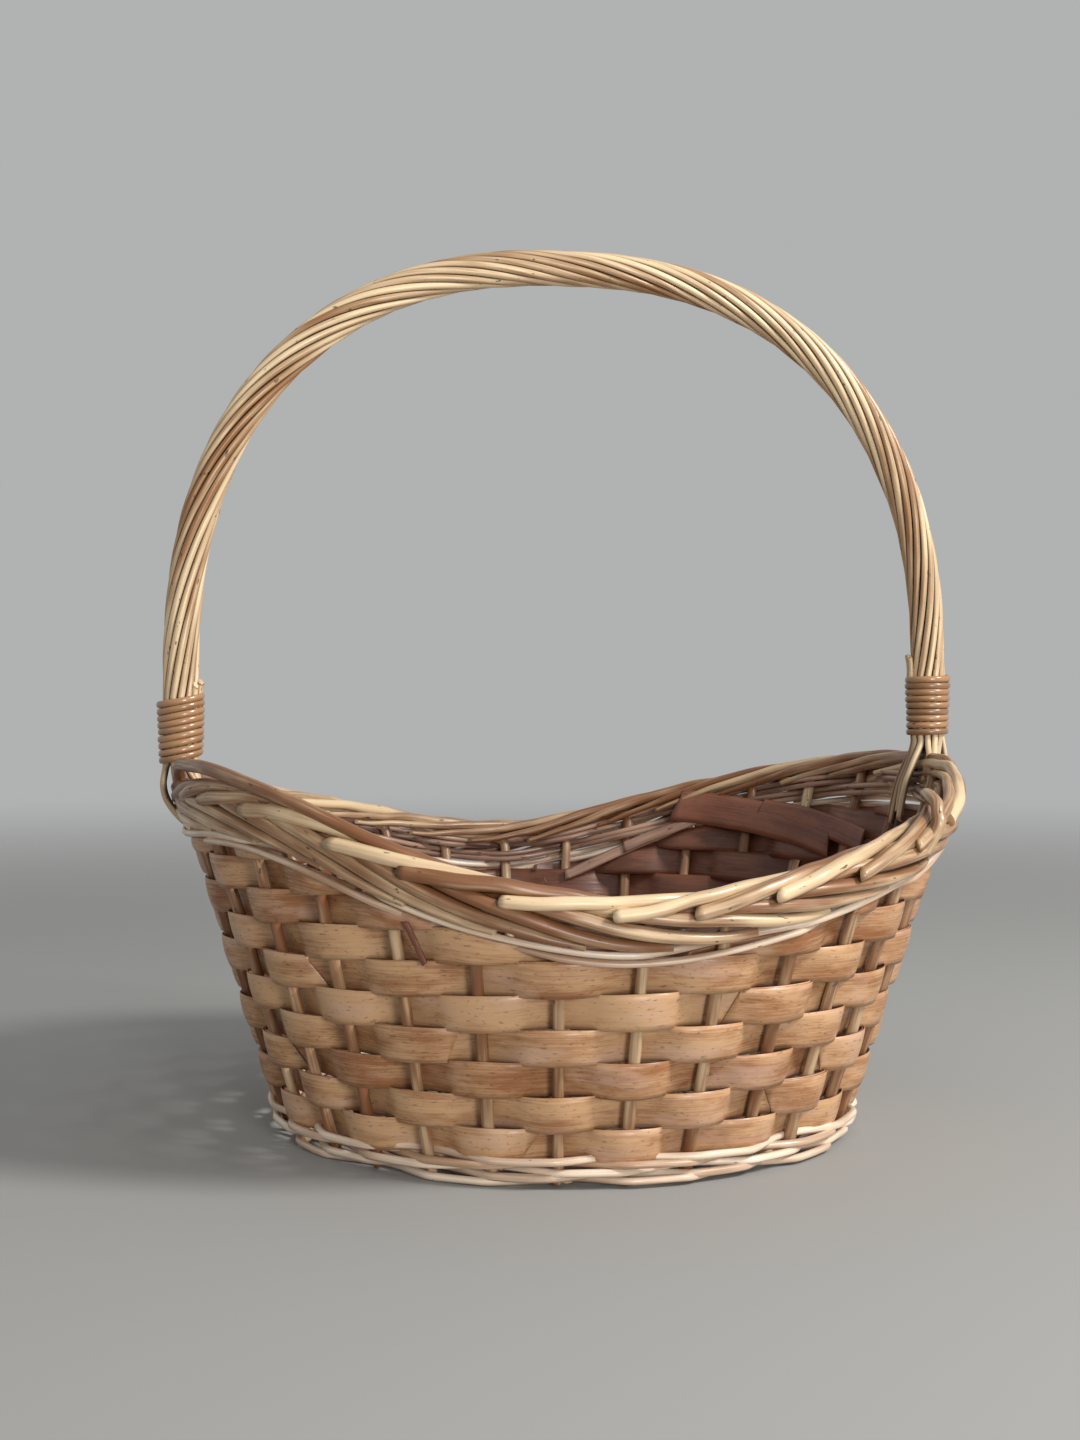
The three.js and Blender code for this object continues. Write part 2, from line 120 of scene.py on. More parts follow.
def swell(angle, start, end):
    """0 outside a stretch of the rim, rising smoothly to 1 in the middle of it."""
    share = np.clip((np.mod(angle, TURN) - start) / (end - start), 0, 1)
    return np.sin(math.pi * share) ** 2


def rim_height(angle):
    """Height of the rim's top on the stake line, at an angle round the basket."""

    def fall(share):
        return np.hypot(share, DIP_ROUNDNESS) - DIP_ROUNDNESS

    rise = fall(np.cos(angle)) / fall(1)
    even = RIM_MID_HEIGHT + (RIM_END_HEIGHT - RIM_MID_HEIGHT) * rise + RIM_TILT * np.cos(angle)
    left_rise = FRONT_LEFT_RISE * swell(angle, math.pi, 1.38 * math.pi)
    return even + left_rise - FRONT_RIGHT_FALL * swell(angle, 1.5 * math.pi, TURN)


def half_length(z):
    return BASE_HALF_LENGTH + LENGTH_FLARE * z


def half_depth(z):
    return BASE_HALF_DEPTH + DEPTH_FLARE * z


MIDDLE_X = (half_length(rim_height(0)) - half_length(rim_height(math.pi))) / 2
HALF_SPAN = (half_length(rim_height(0)) + half_length(rim_height(math.pi))) / 2


def on_wall(angle, z, outward=0.0):
    """Points at angles and heights on the stake line, moved level out of the wall."""
    angle, z, outward = np.broadcast_arrays(angle, z, outward)
    cos = np.cos(angle)
    sin = np.sin(angle)
    out_x = half_depth(z) * cos
    out_y = half_length(z) * sin
    reach = outward / np.hypot(out_x, out_y)
    x = half_length(z) * cos - MIDDLE_X + out_x * reach
    y = half_depth(z) * sin + out_y * reach
    return np.stack([x, y, z], -1)


def wall_up(angle):
    return np.stack([LENGTH_FLARE * np.cos(angle), DEPTH_FLARE * np.sin(angle), np.ones_like(angle)], -1)


def stake_angle(index):
    return (index + 0.5) * STAKE_ANGLE


def weave(angle, phase, over=1):
    """1 where a strand passes outside a stake and -1 where it passes inside: one stake in over + 1."""
    period = over + 1
    swing = 2 / (1 - math.cos(TURN / period))
    place = TURN * (angle / STAKE_ANGLE - 0.5 - phase) / period
    return np.minimum(swing - 1 - swing * np.cos(place), 1.12)


# ------------------------------------------------------------------------------ lines and sections
def spline(knots, count):
    """A smooth curve through rows of numbers, at an even count of places."""
    knots = np.asarray(knots, float)
    ends = np.vstack([2 * knots[0] - knots[1], knots, 2 * knots[-1] - knots[-2]])
    t = np.linspace(0, len(knots) - 1, count)
    i = np.minimum(t.astype(int), len(knots) - 2)
    u = (t - i)[:, None]
    a, b, c, d = ends[i], ends[i + 1], ends[i + 2], ends[i + 3]
    bend = (2 * a - 5 * b + 4 * c - d) * u**2 + (3 * b - a - 3 * c + d) * u**3
    return 0.5 * (2 * b + (c - a) * u + bend)


def wander(count, size, waves=6):
    """A slow random drift along a line."""
    t = np.linspace(0, 1, count)
    drift = np.zeros(count)
    for k in range(1, waves + 1):
        drift += math.sqrt(1 / k) * np.sin(TURN * (k * t + rng.random()))
    return drift * size / 1.6


def unit(rows):
    return rows / np.linalg.norm(rows, axis=-1, keepdims=True)


def round_section(radii, sides=10):
    """A circle for each radius, a little out of round, as peeled willow is."""
    around = np.arange(sides) / sides * TURN
    lumps = 1 + 0.05 * np.sin(2 * around + rng.random() * TURN) + 0.03 * np.sin(3 * around)
    circle = np.stack([np.cos(around), np.sin(around)], -1) * lumps[:, None]
    return np.asarray(radii, float)[:, None, None] * circle


def strip_section(widths, thickness, cups, cells=6):
    """A flat strip for each width, with thin edges and its middle bulging out by each cup."""
    t = np.linspace(1, -1, cells + 1)
    across = np.concatenate([t, -t])
    half = thickness / 2 * (1 - 0.45 * across**4) * np.where(np.arange(len(across)) <= cells, 1, -1)
    x = across * np.asarray(widths)[:, None] / 2
    y = half + (1 - across**2) * np.asarray(cups)[:, None]
    return np.stack([x, y], -1)


def frames(places, across):
    """The direction along a line at each place, and two directions square to it."""
    along = unit(np.gradient(places, axis=0))
    if across is None:
        side = np.cross(along[0], (0.31, 0.22, 0.93))
        normals = []
        for direction in along:
            side = side - side.dot(direction) * direction
            side = side / np.linalg.norm(side)
            normals.append(side)
        normals = np.array(normals)
    else:
        normals = unit(across - (across * along).sum(-1, keepdims=True) * along)
    return along, normals, np.cross(along, normals)


def add_piece(name, places, section, materials, slot, across=None, slants=(0, 0), tone=None, inner=None,
              stands_for=()):
    """Sweeps a section along places as one closed mesh, gives it its materials, puts it under the root body,
    and hides the CAD nodes it stands for.
    """
    along, normals, binormals = frames(places, across)
    section = np.broadcast_to(section, (len(places), *section.shape[-2:]))
    points = places[:, None] + section[..., :1] * normals[:, None] + section[..., 1:] * binormals[:, None]
    for end, slant in zip((0, -1), slants):
        points[end] += slant * section[end][:, :1] * along[end]
    stations, corners = section.shape[:2]
    i, j = np.meshgrid(np.arange(stations - 1), np.arange(corners), indexing="ij")
    after = (j + 1) % corners
    quads = np.stack([i * corners + j, i * corners + after], -1)
    quads = np.concatenate([quads, quads[..., ::-1] + corners], -1).reshape(-1, 4)
    ring = np.arange(corners)
    caps = [ring[::-1].tolist(), (ring + (stations - 1) * corners).tolist()]
    mesh = bpy.data.meshes.new(name)
    mesh.from_pydata(points.reshape(-1, 3) * MM, [], quads.tolist() + caps)
    for material in materials:
        mesh.materials.append(material)
    smooth = np.ones(len(mesh.polygons), bool)
    smooth[-2:] = False
    mesh.polygons.foreach_set("use_smooth", smooth)
    mesh.polygons[-1].material_index = len(materials) - 1
    mesh.polygons[-2].material_index = len(materials) - 1
    tone = rng.normal() if tone is None else tone
    inner = np.arange(corners) >= corners / 2 if inner is None else inner
    set_attributes(mesh, places, section, tone, inner)
    piece = bpy.data.objects.new(name, mesh)
    bpy.context.scene.collection.objects.link(piece)
    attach(piece, "root")
    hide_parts(*stands_for)
    return piece


def set_attributes(mesh, places, section, tone, inner):
    """Grain coordinates in metres along and across the piece, its tone, and how far a point faces inward."""
    steps = np.linalg.norm(np.diff(places, axis=0), axis=1)
    length = np.concatenate([[0], np.cumsum(steps)])
    stations, corners = section.shape[:2]
    grain = np.zeros((stations, corners, 3), np.float32)
    grain[..., 0] = length[:, None]
    grain[..., 1:] = section
    grain = grain * MM + rng.random(3) * 5
    attribute = mesh.attributes.new("grain", "FLOAT_VECTOR", "POINT")
    attribute.data.foreach_set("vector", grain.astype(np.float32).ravel())
    attribute = mesh.attributes.new("tone", "FLOAT", "POINT")
    tones = np.broadcast_to(np.reshape(tone, (-1, 1)), (stations, corners))
    attribute.data.foreach_set("value", tones.astype(np.float32).ravel())
    attribute = mesh.attributes.new("inner", "FLOAT", "POINT")
    inners = np.broadcast_to(inner, (stations, corners))
    attribute.data.foreach_set("value", inners.astype(np.float32).ravel())


# ------------------------------------------------------------------------------ materials
def srgb(red, green, blue):
    """A colour given in display values from 0 to 255."""
    levels = [c / 255 for c in (red, green, blue)]
    linear = [c / 12.92 if c <= 0.04045 else ((c + 0.055) / 1.055) ** 2.4 for c in levels]
    return (*linear, 1.0)


class Nodes:
    """Short calls for building a material's node tree."""

    def __init__(self, name):
        self.material = bpy.data.materials.new(name)
        self.material.use_nodes = True
        self.tree = self.material.node_tree
        self.shader = self.tree.nodes["Principled BSDF"]

    def add(self, kind, **inputs):
        node = self.tree.nodes.new(kind)
        for key, value in inputs.items():
            self.give(node.inputs[key.replace("_", " ")], value)
        return node

    def give(self, socket, value):
        if isinstance(value, bpy.types.NodeSocket):
            self.tree.links.new(value, socket)
        else:
            socket.default_value = value

    def attribute(self, name, output):
        node = self.tree.nodes.new("ShaderNodeAttribute")
        node.attribute_name = name
        return node.outputs[output]

    def noise(self, scale, detail=3.0, roughness=0.55):
        """Noise over the grain coordinates, with its own scale along and across the piece."""
        stretched = self.add("ShaderNodeMapping", Vector=self.attribute("grain", "Vector"), Scale=scale)
        vector = stretched.outputs["Vector"]
        node = self.add("ShaderNodeTexNoise", Vector=vector, Scale=1.0, Detail=detail, Roughness=roughness)
        return node.outputs["Fac"]

    def span(self, value, low, high, to_low=0.0, to_high=1.0):
        node = self.tree.nodes.new("ShaderNodeMapRange")
        node.interpolation_type = "SMOOTHSTEP"
        for socket, given in zip(node.inputs, (value, low, high, to_low, to_high)):
            self.give(socket, given)
        return node.outputs["Result"]

    def math(self, operation, a, b):
        node = self.tree.nodes.new("ShaderNodeMath")
        node.operation = operation
        self.give(node.inputs[0], a)
        self.give(node.inputs[1], b)
        return node.outputs["Value"]

    def mix(self, factor, a, b, blend="MIX"):
        node = self.tree.nodes.new("ShaderNodeMix")
        node.data_type = "RGBA"
        node.blend_type = blend
        self.give(node.inputs["Factor"], factor)
        self.give(node.inputs["A"], a)
        self.give(node.inputs["B"], b)
        return node.outputs["Result"]

    def bump(self, height, strength, distance):
        node = self.add("ShaderNodeBump", Height=height, Strength=strength, Distance=distance)
        self.give(self.shader.inputs["Normal"], node.outputs["Normal"])

    def coat(self, weight):
        self.give(self.shader.inputs["Coat Weight"], weight)
        self.give(self.shader.inputs["Coat Roughness"], 0.22)


def willow(name, light, dark, speck, gloss=0.36, coat=0.3, specks=0.68, tone_share=0.2, groove=0.0):
    """Peeled willow: a tone for each rod, streaks along it, dark specks, and painted shade in the grooves
    beside.
    """
    nodes = Nodes(name)
    tone = nodes.math("MULTIPLY", nodes.attribute("tone", "Fac"), tone_share)
    patches = nodes.span(nodes.noise((16, 80, 80)), 0.3, 0.7, -0.2, 0.5)
    streaks = nodes.span(nodes.noise((22, 650, 650), 3.0), 0.3, 0.7, -0.15, 0.25)
    share = nodes.math("ADD", nodes.math("ADD", tone, patches), streaks)
    colour = nodes.mix(nodes.span(share, -0.35, 0.95), light, dark)
    spots = nodes.span(nodes.noise((150, 420, 420), 2.0), specks, specks + 0.05)
    colour = nodes.mix(nodes.math("MULTIPLY", spots, 0.8), colour, speck)
    # painted shade: where groove is set, the side of a rod that faces the handle's core is darkened towards
    # the speck colour, standing in for the shade in the grooves between rods
    if groove:
        painted_groove_shade = nodes.span(nodes.attribute("inner", "Fac"), 0.18, 0.5, 0.0, groove)
        colour = nodes.mix(painted_groove_shade, colour, speck)
    nodes.give(nodes.shader.inputs["Base Color"], colour)
    nodes.give(nodes.shader.inputs["Roughness"], nodes.span(streaks, -0.15, 0.25, gloss, gloss + 0.16))
    nodes.coat(coat)
    height = nodes.math("ADD", nodes.noise((30, 500, 500), 3.0), nodes.math("MULTIPLY", spots, 0.5))
    nodes.bump(height, 0.45, 0.0005)
    return nodes.material


def splint_wood(name, light, dark, rosy, inside):
    """Shaved wood: fine grain lengthwise, orange patches, rosy patches that are partly painted highlight, and
    a browner inner face that is partly painted shade.
    """
    nodes = Nodes(name)
    tone = nodes.math("MULTIPLY", nodes.attribute("tone", "Fac"), 0.16)
    patches = nodes.span(nodes.noise((34, 110, 110), 4.0, 0.6), 0.32, 0.68, -0.15, 0.5)
    lines = nodes.span(nodes.noise((12, 1300, 1300), 4.0, 0.65), 0.3, 0.7, -0.2, 0.3)
    share = nodes.math("ADD", nodes.math("ADD", tone, patches), lines)
    colour = nodes.mix(nodes.span(share, -0.3, 1.0), light, dark)
    # pale rosy patches at random: partly the wood's own colour and partly painted highlight
    rosy_patch_and_highlight = nodes.span(nodes.noise((26, 70, 70), 3.0), 0.5, 0.7, 0.0, 0.6)
    colour = nodes.mix(rosy_patch_and_highlight, colour, rosy)
    flecks = nodes.span(nodes.noise((300, 800, 800), 2.0), 0.6, 0.72, 0.0, 0.5)
    colour = nodes.mix(flecks, colour, srgb(84, 52, 32))
    # the inner face is browner: partly the wood's own colour and partly painted shade of the basket's inside
    inner_face_brown_and_shade = nodes.math("MULTIPLY", nodes.attribute("inner", "Fac"), 0.9)
    colour = nodes.mix(inner_face_brown_and_shade, colour, nodes.mix(nodes.span(share, -0.3, 1.0), inside, srgb(84, 48, 34)))
    nodes.give(nodes.shader.inputs["Base Color"], colour)
    nodes.give(nodes.shader.inputs["Roughness"], nodes.span(lines, -0.2, 0.3, 0.36, 0.54))
    nodes.coat(0.15)
    nodes.bump(nodes.noise((14, 800, 800), 4.0), 0.35, 0.0004)
    return nodes.material


# the handle rods get painted groove shade on their sides towards the core
GOLD = willow(
    "handle_willow", srgb(228, 202, 162), srgb(144, 98, 56), srgb(52, 30, 18), tone_share=0.18, groove=0.8
)
TAN = willow("border_willow", srgb(222, 194, 154), srgb(126, 80, 46), srgb(46, 28, 16), tone_share=0.3)
# A very dark brown for the handle's core and the base sticks; on the core, which shows only in the gaps
# between the twisted rods, this darkness is painted shade.
BROWN_AND_GAP_SHADE = willow("core_willow_gap_shade", srgb(74, 46, 28), srgb(44, 26, 16), srgb(30, 18, 12), coat=0.0)
PALE = willow("thin_willow", srgb(240, 220, 196), srgb(172, 134, 104), srgb(92, 62, 44), specks=0.72)
DUSKY = willow("inner_willow", srgb(186, 150, 128), srgb(104, 70, 56), srgb(52, 34, 28))
CANE = willow("lashing_cane", srgb(168, 126, 88), srgb(104, 70, 42), srgb(50, 30, 18), gloss=0.22, coat=0.6)
CUT = willow("cut_willow", srgb(226, 200, 162), srgb(176, 138, 96), srgb(104, 70, 44), gloss=0.7, coat=0.0)
# the splint's last colour is its inner face, partly painted shade
SPLINT = splint_wood(
    "splint_wood", srgb(202, 160, 118), srgb(146, 92, 52), srgb(204, 166, 142), srgb(122, 68, 50)
)
CHIP = splint_wood("chip_wood", srgb(138, 84, 60), srgb(98, 56, 38), srgb(132, 86, 68), srgb(116, 66, 48))


# ------------------------------------------------------------------------------ rods along the rim
def along_rod(values, count):
    """Values given at an even spacing along a rod, at each of its places."""
    return np.interp(np.linspace(0, 1, count), np.linspace(0, 1, len(values)), values)


def hug(angle):
    """The share of its way outward that a border rod keeps, as it passes a foot of the handle."""
    drawn_in = np.where(np.cos(angle) > 0, 0.78, 0.6)
    return 1 - drawn_in * np.exp(-((np.sin(angle) / math.sin(2.2 * STAKE_ANGLE)) ** 2))


def rim_rod(name, index, knots, radii, tones, material, slot, **options):
    """A rod through knots of (stake spacings from a stake, outward, depth below the rim)."""
    line = spline(knots, 14 * (len(knots) - 1) + 1)
    count = len(line)
    angle = stake_angle(index) + line[:, 0] * STAKE_ANGLE
    outward = line[:, 1] * hug(angle) + wander(count, 0.35)
    depth = line[:, 2] + wander(count, 0.35)
    places = on_wall(angle, rim_height(angle) - depth, outward)
    radius = along_rod(radii, count) * (1 + wander(count, 0.02, 12))
    across = unit(on_wall(angle, places[:, 2], 1) - on_wall(angle, places[:, 2], 0))
    return add_piece(name, places, round_section(radius), [material, CUT], slot, across=across,
                     tone=along_rod(tones, count), **options)


def rim_darkening(index):
    """The rim is browner at the back right and the front left."""
    back_right = max(0, math.cos(stake_angle(index) - 0.7)) ** 2
    front_left = max(0, math.cos(stake_angle(index) - 3.6)) ** 3
    return 1.7 * back_right + 1.5 * front_left


def add_stakes():
    """Each stake stands in the wall, folds over to the right and runs slanting down outside the next ones."""
    for index in range(STAKE_COUNT):
        top = rim_height(stake_angle(index))
        upright = [(0, 0, depth) for depth in np.linspace(top - 1.8, 13, 8)]
        lift = rng.normal() * 0.6
        fold = [
            (0.12, 0.8, 8.8),
            (0.5, 4.2, 6.6 + lift),
            (1, 8.0, 8.4 + lift),
            (1.5, 9.1, 11.6 + lift),
            (2, 9.0, 14.9 + lift),
            (2.5, 8.8, 18.0),
            (2.9, 8.0, 20.2),
            (3.3, 6.2 + rng.normal() * 0.4, 21.4),
        ]
        radii = [STAKE_RADIUS] * 8 + [BORDER_RADIUS] * 5 + [2.7, 2.3, 1.8]
        tone = rng.normal(0.1, 1.0) + rim_darkening(index)
        tones = [rng.normal(1.2, 0.5)] * 8 + [tone + 0.6] + [tone] * 7
        node = f"stake_{index + 1:02d}"
        rim_rod(f"willow_{node}", index, upright + fold, radii, tones, TAN, "stake",
                stands_for=[node], slants=(0, -0.5))


def add_border_rods():
    """The upper rods start with a slanting cut on the outer face and climb over to the inner edge."""
    for index in range(STAKE_COUNT):
        start = 0.5 + rng.uniform(-0.15, 0.15)
        lift = rng.normal() * 0.5
        knots = [
            (start, 9.6, 7.4 + lift),
            (start + 0.5, 8.4, 4.6 + lift),
            (start + 1, 5.2, 2.4 + lift),
            (start + 1.5, 1.4, 1.5),
            (start + 2, -2.4, 2.2),
            (start + 2.5, -5.2, 3.8),
            (start + 3, -6.8, 6.0),
            (start + 3.5, -7.2, 8.4),
            (start + 4, -6.8, 10.8),
        ]
        thick = rng.uniform(0.92, 1.06)
        radii = np.array([3.1, 3.1, 3.0, 2.9, 2.7, 2.4, 2.0, 1.6, 1.2]) * thick
        tones = np.linspace(0, 0.8, 9) + rng.normal(-0.2, 1.0) + rim_darkening(index + 1)
        slant = rng.uniform(-1.6, -0.5)
        rim_rod(f"border_rod_{index + 1:02d}", index, knots, radii, tones, TAN, "border", slants=(slant, 0.4))


def add_foot_loops():
    """Thick rod ends that cross over the rim beside each handle foot."""
    over_left = [
        (0.32, 6, 9),
        (0.3, 4, 2),
        (0.36, 1, -4),
        (0.8, 0, -8),
        (1.5, 1.5, -7),
        (2.5, 4, -4.5),
        (3.5, 5, -2),
        (4.5, 3, 0.5),
        (5.5, -1, 1.5),
        (6.5, -5, 3.5),
    ]
    over_right = [
        (0.9, 9.6, 13.0),
        (0.95, 10.6, 6.5),
        (1.0, 10.0, -0.5),
        (1.1, 5.5, -5.5),
        (1.35, -2.0, -6.5),
        (1.7, -8.5, -3.0),
        (2.2, -10.5, 4.0),
        (2.9, -10.5, 12.0),
    ]
    for name, index, knots, tone in (("left", 14.5, over_left, 1.6), ("right", 25, over_right, 0.4)):
        radii = [2.9, 3.0, 3.0, 3.0, 2.9, 2.7, 2.4, 2.0]
        rim_rod(f"border_loop_{name}", index, knots, radii, [tone] * 8, TAN, "border", slants=(-0.5, 0.5))


def ring_rod(name, height_at, outward_at, radius, material, slot, first=0.0, stakes=STAKE_COUNT - 0.05,
             **options):
    """A thin rod round the basket from one place to another, in stake spacings."""
    count = int(stakes * 10) + 1
    angle = stake_angle(first + np.linspace(0, stakes, count))
    rise = wander(count, 0.3, 14)
    places = on_wall(angle, height_at(angle) + rise, outward_at(angle) + wander(count, 0.15, 10))
    section = round_section(radius * (1 + wander(count, 0.05, 10)), 8)
    return add_piece(name, places, section, [material, CUT], slot, **options)


WOVEN_OUT = STAKE_RADIUS + THIN_ROD_RADIUS + 0.15


def add_rim_weavers():
    """Thin rods woven through the stakes behind the border, and two pale ones just below it."""
    stands_for = {0: ["border_inner_hoop"], 4: ["rim_weaver_1"], 5: ["rim_weaver_2"]}
    for n in range(RIM_ROD_COUNT):
        depth = TOP_RIM_ROD_DEPTH + RIM_ROD_PITCH * n
        pale = n >= FIRST_PALE_RIM_ROD
        over = 4 if pale else 1
        phase = 2 * n if pale else n // 2
        ring_rod(f"rim_rod_{n + 1}", lambda angle: rim_height(angle) - depth,
                 lambda angle: WOVEN_OUT * weave(angle, phase, over) + (0.8 if pale else 0), THIN_ROD_RADIUS,
                 PALE if pale else DUSKY, "weaver", first=(7, 9, 11, 12, 4, 14)[n], slants=(0.8, 0.8),
                 stands_for=stands_for.get(n, []))


def add_foot():
    """Thin pale strands, each outside two stakes and inside the next, in two lengths that overlap."""
    nodes = ["foot_hoop", "foot_weaver_1", "foot_weaver_2"]
    woven_out = STAKE_RADIUS + FOOT_ROD_RADIUS + 0.1
    half_way = STAKE_COUNT / 2
    for n in range(FOOT_ROD_COUNT):
        height = FOOT_ROD_RADIUS + 0.45 + FOOT_ROD_PITCH * n
        for half in range(2):
            ring_rod(f"foot_rod_{n + 1}_{half + 1}", lambda angle: height + 0.8 * half + 0 * angle,
                     lambda angle: woven_out * weave(angle, n, 2) + 1.3 * half, FOOT_ROD_RADIUS,
                     PALE, "weaver", first=5.4 + 7 * n + half_way * half, stakes=half_way + 0.8,
                     slants=(1.2, -1.2), stands_for=nodes[n:n + 1] if half == 0 else [])


# ------------------------------------------------------------------------------ the splints
def splint_room(angle):
    return rim_height(angle) - SPLINTS_DEPTH - FOOT_TOP


def row_pitch(angle):
    """Rows lie closer together at the rim's dip than at its high ends, where there are more of them."""
    middle = splint_room(math.pi / 2) / FULL_ROWS
    reach = SHORTEST_ROW_REACH * STAKE_ANGLE
    tall_rows = FULL_ROWS + SHORT_ROWS
    right = splint_room(reach) / tall_rows
    left = splint_room(math.pi - reach) / tall_rows
    end = np.where(np.cos(angle) > 0, right, left)
    return middle + (end - middle) * np.cos(angle) ** 2


def add_splint(name, row, first, last, lift=0.0, slants=(0.5, -0.5), **options):
    """A splint woven through the stakes, from one place to another in stake spacings."""
    count = int((last - first) * 12) + 1
    angle = stake_angle(np.linspace(first, last, count))
    side = weave(angle, row + 1)
    fullness = np.sign(side) * np.abs(side) ** 0.75
    share = np.abs(side)
    rise = wander(count, 0.3, 10)
    z = FOOT_TOP + (row + 0.5) * row_pitch(angle) + rise
    fit = row_pitch(angle) / row_pitch(math.pi / 2)
    widths = (SPLINT_WIDTH - SPLINT_SQUEEZE * (1 - share)) * fit
    bottom = z - widths / 2
    widths = np.clip(rim_height(angle) - SPLINTS_DEPTH + 1.5 - bottom, SPLINT_END_WIDTH, widths)
    z = bottom + widths / 2
    places = on_wall(angle, z, (SPLINT_OUT + wander(count, 0.25, 8)) * fullness + lift)
    section = strip_section(widths, SPLINT_THICKNESS, SPLINT_CUP * side)
    lean = wall_up(angle) - 0.05 * side[:, None] * unit(on_wall(angle, z, 1) - on_wall(angle, z, 0))
    return add_piece(name, places, section, [SPLINT], "splint", across=lean, slants=slants, **options)


def add_splints():
    for row in range(FULL_ROWS):
        length = STAKE_COUNT / SPLINT_STRIPS
        start = 3.3 + 2 * rng.integers(0, 4) + row % 2
        for strip in range(SPLINT_STRIPS):
            first = start + strip * length
            name = f"splint_{row + 1}_{strip + 1}"
            nodes = [f"splint_row_{row + 1}"] if strip == 0 else []
            add_splint(name, row, first, first + length + 1.3, lift=0.5 - 1.0 * (strip % 2),
                       slants=rng.uniform(-0.7, 0.7, 2), stands_for=nodes)
    for number in range(1, SHORT_ROWS + 2):
        row = FULL_ROWS + number - 1
        for side, end in ((0, "right"), (1, "left")):
            first, last = [short_row_end(row, side * math.pi, way) for way in (-1, 1)]
            nodes = [f"short_splint_{end}_{number}"] if number <= SHORT_ROWS else []
            add_splint(f"splint_{end}_{number}", row, first, last, stands_for=nodes)


def short_row_end(row, middle, way):
    """The place, in stake spacings, where a row above the full ones runs out under the rim."""
    angles = middle + way * np.linspace(0, math.pi / 2, 400)
    fits = splint_room(angles) - row * row_pitch(angles) >= SPLINT_END_WIDTH
    return angles[np.argmin(fits)] / STAKE_ANGLE - 0.5


# ------------------------------------------------------------------------------ the base
def base_edge(angle, share):
    x = (BASE_HALF_LENGTH - BASE_INSET) * share * np.cos(angle) - MIDDLE_X
    return x, (BASE_HALF_DEPTH - BASE_INSET) * share * np.sin(angle)


def add_base():
    """Ten sticks cross in the middle and fan out, with thin rods woven round them."""
    sticks = BASE_SPOKES // 4
    spoke_angle = TURN / BASE_SPOKES
    for group in range(2):
        for k in range(sticks):
            offset = k - (sticks - 1) / 2
            ends = []
            for angle in (offset * spoke_angle, math.pi - offset * spoke_angle):
                turned = angle + group * math.pi / 2
                x, y = base_edge(turned, 1)
                ends.append((x, y, BASE_HEIGHT))
            turn = Matrix.Rotation(group * math.pi / 2, 3, "Z")
            inner = [turn @ Vector((reach, offset * BASE_STICK_SPACING, 0)) for reach in (16, 0, -16)]
            height = BASE_HEIGHT + (BASE_STICK_RADIUS if group else -BASE_STICK_RADIUS)
            middle = [(p.x - MIDDLE_X, p.y, height) for p in inner]
            line = spline([ends[0], *middle, ends[1]], 41)
            nodes = ["base_stick_front", "base_stick_back"][group:group + 1] if k == 0 else []
            section = round_section(np.full(len(line), BASE_STICK_RADIUS), 8)
            add_piece(f"base_stick_{group + 1}_{k + 1}", line, section, [BROWN_AND_GAP_SHADE, CUT], "base",
                      stands_for=nodes)
    for ring in range(BASE_RINGS):
        share = 0.19 + 0.8 * ring / (BASE_RINGS - 1)
        angle = np.linspace(0, TURN * 0.997, 6 * BASE_SPOKES + 1) + rng.random() * TURN
        side = np.cos((angle / spoke_angle - 0.5 + ring) * math.pi)
        x, y = base_edge(angle, share)
        line = np.stack([x, y, BASE_HEIGHT + BASE_RING_SWING * side], -1)
        section = round_section(np.full(len(line), BASE_RING_RADIUS), 6)
        add_piece(f"base_ring_{ring + 1:02d}", line, section, [DUSKY, CUT], "base",
                  stands_for=["base_panel"] if ring == 0 else [])


# ------------------------------------------------------------------------------ the handle
def leg_point(side, z):
    """The handle's centre line below the arch: upright above the rim, leaning in with the wall below."""
    top = rim_height(0 if side > 0 else math.pi)
    return (side * (HALF_SPAN - LENGTH_FLARE * max(top - z, 0)), z)


def handle_line(step=3.0):
    """Points (x, z) of the centre line from the lower end of one lashing to that of the other."""
    power = 2 / HANDLE_EXPONENT
    angle = np.linspace(0, math.pi, 3000)
    cos = np.cos(angle)
    x = HALF_SPAN * np.sign(cos) * np.abs(cos) ** power
    z = HANDLE_SPRING_HEIGHT + (HANDLE_TOP_HEIGHT - HANDLE_SPRING_HEIGHT) * np.abs(np.sin(angle)) ** power
    line = np.stack([x, z], -1)
    bottoms = [leg_point(side, rim_height(a) + LASHING_RISE) for side, a in ((1, 0), (-1, math.pi))]
    line = np.vstack([bottoms[0], line, bottoms[1]])
    travelled = np.concatenate([[0], np.cumsum(np.linalg.norm(np.diff(line, axis=0), axis=1))])
    even = np.linspace(0, travelled[-1], int(travelled[-1] / step) + 1)
    return np.stack([np.interp(even, travelled, line[:, k]) for k in (0, 1)], -1), even


def handle_frame():
    """Points of the centre line, the direction out of the arch at each, and how far the twist has turned."""
    line, travelled = handle_line()
    places = np.stack([line[:, 0], np.zeros(len(line)), line[:, 1]], -1)
    tangent = unit(np.gradient(places, axis=0))
    out = np.cross(tangent, (0, 1, 0))
    free = travelled[-1] - 2 * LASHING_LENGTH
    share = np.clip((travelled - LASHING_LENGTH) / free, 0, 1)
    turned = TURN * HANDLE_TURNS * (share - HANDLE_TWIST_EASE * np.sin(TURN * share) / TURN)
    return places, -out if out[0, 0] < 0 else out, turned


